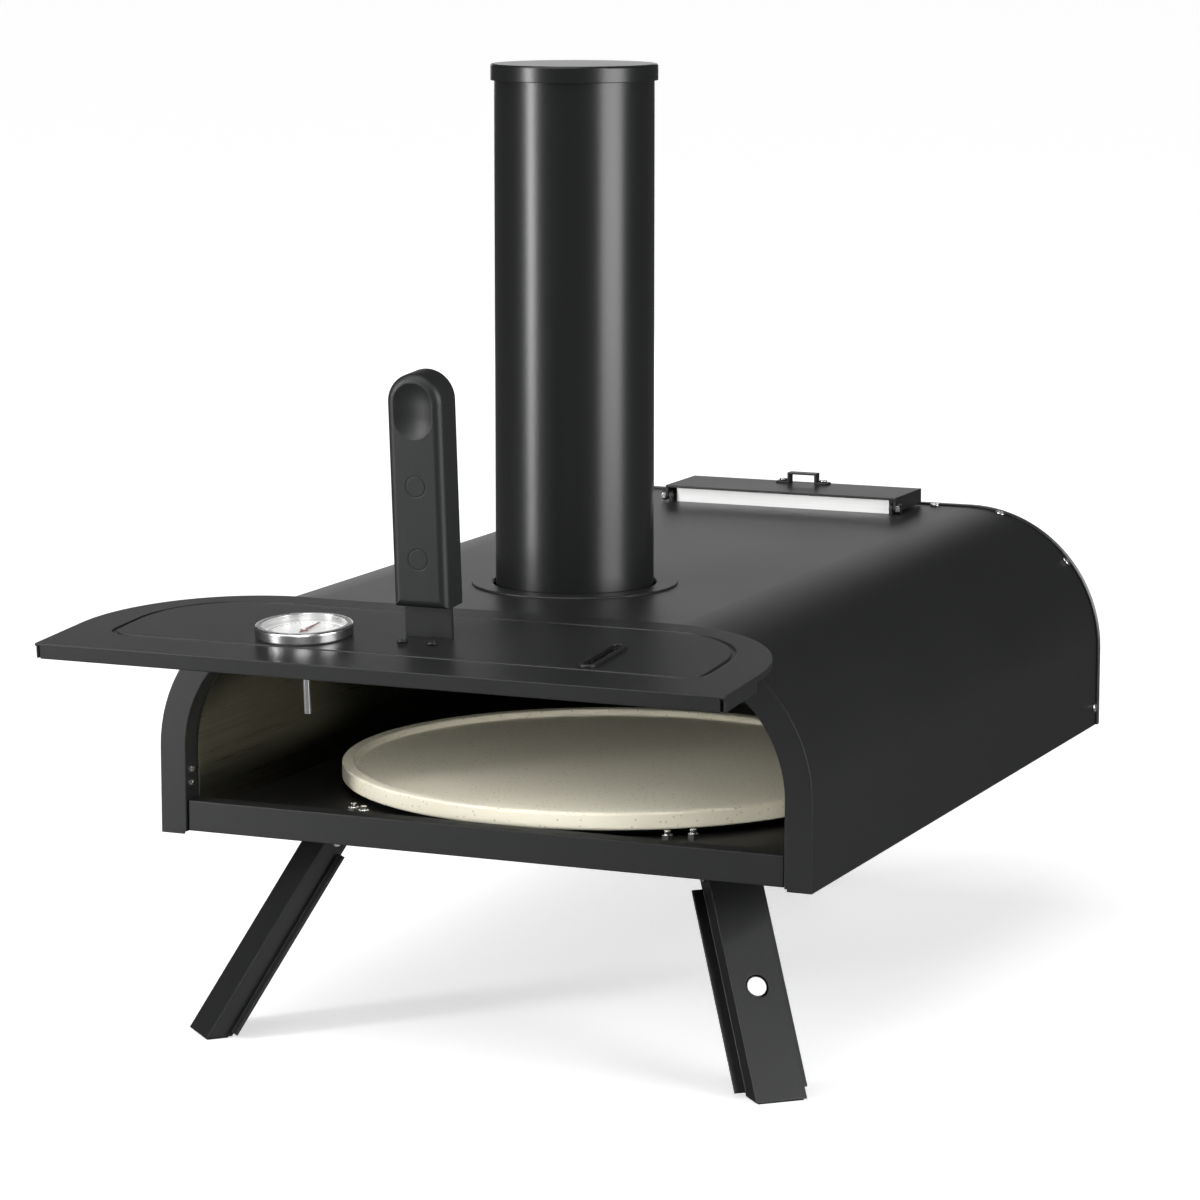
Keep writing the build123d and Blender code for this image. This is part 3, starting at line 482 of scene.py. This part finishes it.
def makeTicks():
    needle = joints["needle_turn"]
    up = Vector(needle["axis"])
    # the dial's face lies a little under the needle's pivot point
    dialPlace = Matrix.Translation(Vector(needle["pos_m"]) - up * dialSpec["dialDepth"])
    dialPlace = dialPlace @ up.to_track_quat("Z", "Y").to_matrix().to_4x4()
    marks = []
    for index in range(dialSpec["ticks"]):
        angle = math.radians(-dialSpec["sweep"] / 2 + dialSpec["sweep"] * index / (dialSpec["ticks"] - 1))
        length = dialSpec["long"] if index % dialSpec["longEvery"] == 0 else dialSpec["short"]
        deselect()
        bpy.ops.mesh.primitive_cube_add(size=1,
                                        location=(0, dialSpec["outer"] - length / 2, dialSpec["thick"] / 2),
                                        scale=(dialSpec["width"], length, dialSpec["thick"]))
        mark = bpy.context.object
        bpy.ops.object.transform_apply(location=True, rotation=True, scale=True)
        settle(mark, dialPlace @ Matrix.Rotation(angle, 4, "Z"))
        marks.append(mark)
    dressed(joinPieces(marks, "dialTicks"), "mark", "door")


makeTicks()
print("dial marked")


studio = {"floorSeen": (0.80, 0.80, 0.80), "floorBounce": (0.12, 0.12, 0.12), "floorGlow": 0.56,
          "sky": 1.0, "fill": 0.045, "floorSize": 160, "floorRoughness": 0.7,
          "camera": (1.004, -2.3552, 0.6608), "target": (0.0752, -0.1975, 0.2735), "lens": 130.62, "sensor": 36.0,
          "sun": {"tilt": (0.5, -0.25, 0.0), "strength": 2.0, "spread": 70.0},
          "lights": [
              {"name": "leftStrip", "at": (-1.56, -1.85, 0.5), "look": (0, -0.1, 0.35), "size": (0.42, 1.7),
               "power": 46},
              {"name": "rightStrip", "at": (2.15, -0.5, 0.6), "look": (0.0, 0, 0.35), "size": (1.3, 1.7),
               "power": 54},
              {"name": "backSoft", "at": (-1.7, 3.4, 0.8), "look": (0, 0, 0.25), "size": (2.2, 0.9), "power": 9},
              {"name": "chamberSoft", "at": (0.0, -0.193, 0.236), "look": (0, -0.155, 0.14),
               "size": (0.3, 0.012), "power": 0.16},
              {"name": "trimFront", "at": (0.5, -1.7, 0.42), "look": (0, -0.1, 0.2), "size": (0.7, 0.35),
               "power": 12, "only": "paleTrim"},
              {"name": "trimTop", "at": (0.0, -0.7, 1.6), "look": (0, -0.3, 0.3), "size": (1.0, 0.8),
               "power": 3.5, "only": "paleTrim"},
              {"name": "rearCard", "at": (0.9, 2.4, 0.5), "look": (0, 0.4, 0.18), "size": (1.4, 1.0),
               "power": 13, "only": "rearPieces"},
          ],
          # the pale pieces that the two trim lights fall on
          "paleTrim": ["pizza_stone", "fuel_neck", "thermometer_dial", "thermometer_bezel",
                       "thermometer_probe", "floor_studs", "hinge_pins", "leg_magnet"],
          # the dark pieces at the back that the rear card falls on
          "rearPieces": ["rear_cover", "leg_rear", "leg_rear_foot_pad"]}


def litCollection(name):
    # the pieces that a linked light falls on
    lit = bpy.data.collections.new(name)
    for node in studio[name]:
        lit.objects.link(nodes[node])
    return lit


def makeStudio():
    deselect()
    bpy.ops.mesh.primitive_plane_add(size=studio["floorSize"], location=(0, 0, 0))
    floor = bpy.context.object
    floor.name = "studioFloor"
    material, tree, shader = startMaterial("paleFloor")
    shader.inputs["Roughness"].default_value = studio["floorRoughness"]
    shader.inputs["Emission Color"].default_value = (1, 1, 1, 1)
    # the floor looks white, but throws little light back up
    look = tree.nodes.new("ShaderNodeLightPath")
    shade = tree.nodes.new("ShaderNodeMix")
    shade.data_type = "RGBA"
    shade.inputs[mixFirst].default_value = studio["floorBounce"] + (1,)
    shade.inputs[mixSecond].default_value = studio["floorSeen"] + (1,)
    glow = tree.nodes.new("ShaderNodeMath")
    glow.operation = "MULTIPLY"
    glow.inputs[1].default_value = studio["floorGlow"]
    tree.links.new(look.outputs["Is Camera Ray"], shade.inputs[mixFactor])
    tree.links.new(look.outputs["Is Camera Ray"], glow.inputs[0])
    tree.links.new(shade.outputs[mixResult], shader.inputs["Base Color"])
    tree.links.new(glow.outputs[0], shader.inputs["Emission Strength"])
    floor.data.materials.append(material)
    world = bpy.data.worlds.new("studioWorld")
    world.use_nodes = True
    sky = world.node_tree.nodes["Background"]
    sky.inputs["Color"].default_value = (1, 1, 1, 1)
    seen = world.node_tree.nodes.new("ShaderNodeLightPath")
    level = world.node_tree.nodes.new("ShaderNodeMapRange")
    level.inputs["To Min"].default_value = studio["fill"]
    level.inputs["To Max"].default_value = studio["sky"]
    world.node_tree.links.new(seen.outputs["Is Camera Ray"], level.inputs["Value"])
    world.node_tree.links.new(level.outputs["Result"], sky.inputs["Strength"])
    bpy.context.scene.world = world
    overhead = bpy.data.lights.new("overhead", "SUN")
    overhead.energy = studio["sun"]["strength"]
    overhead.angle = math.radians(studio["sun"]["spread"])
    sunHolder = bpy.data.objects.new("overhead", overhead)
    sunHolder.rotation_euler = studio["sun"]["tilt"]
    bpy.context.scene.collection.objects.link(sunHolder)
    for spec in studio["lights"]:
        lamp = bpy.data.lights.new(spec["name"], "AREA")
        lamp.shape = "RECTANGLE"
        lamp.size, lamp.size_y = spec["size"]
        lamp.energy = spec["power"]
        holder = bpy.data.objects.new(spec["name"], lamp)
        bpy.context.scene.collection.objects.link(holder)
        holder.location = spec["at"]
        aim = Vector(spec["look"]) - Vector(spec["at"])
        holder.rotation_euler = aim.to_track_quat("-Z", "Y").to_euler()
        if "only" in spec:
            lit = bpy.data.collections.get(spec["only"]) or litCollection(spec["only"])
            holder.light_linking.receiver_collection = lit
    lens = bpy.data.cameras.new("camera")
    lens.lens = studio["lens"]
    lens.sensor_width = studio["sensor"]
    camera = bpy.data.objects.new("camera", lens)
    bpy.context.scene.collection.objects.link(camera)
    camera.location = studio["camera"]
    aim = Vector(studio["target"]) - Vector(studio["camera"])
    camera.rotation_euler = aim.to_track_quat("-Z", "Y").to_euler()
    bpy.context.scene.camera = camera
    bpy.context.scene.view_settings.view_transform = "Standard"


makeStudio()
print("studio made")

bpy.context.view_layer.update()
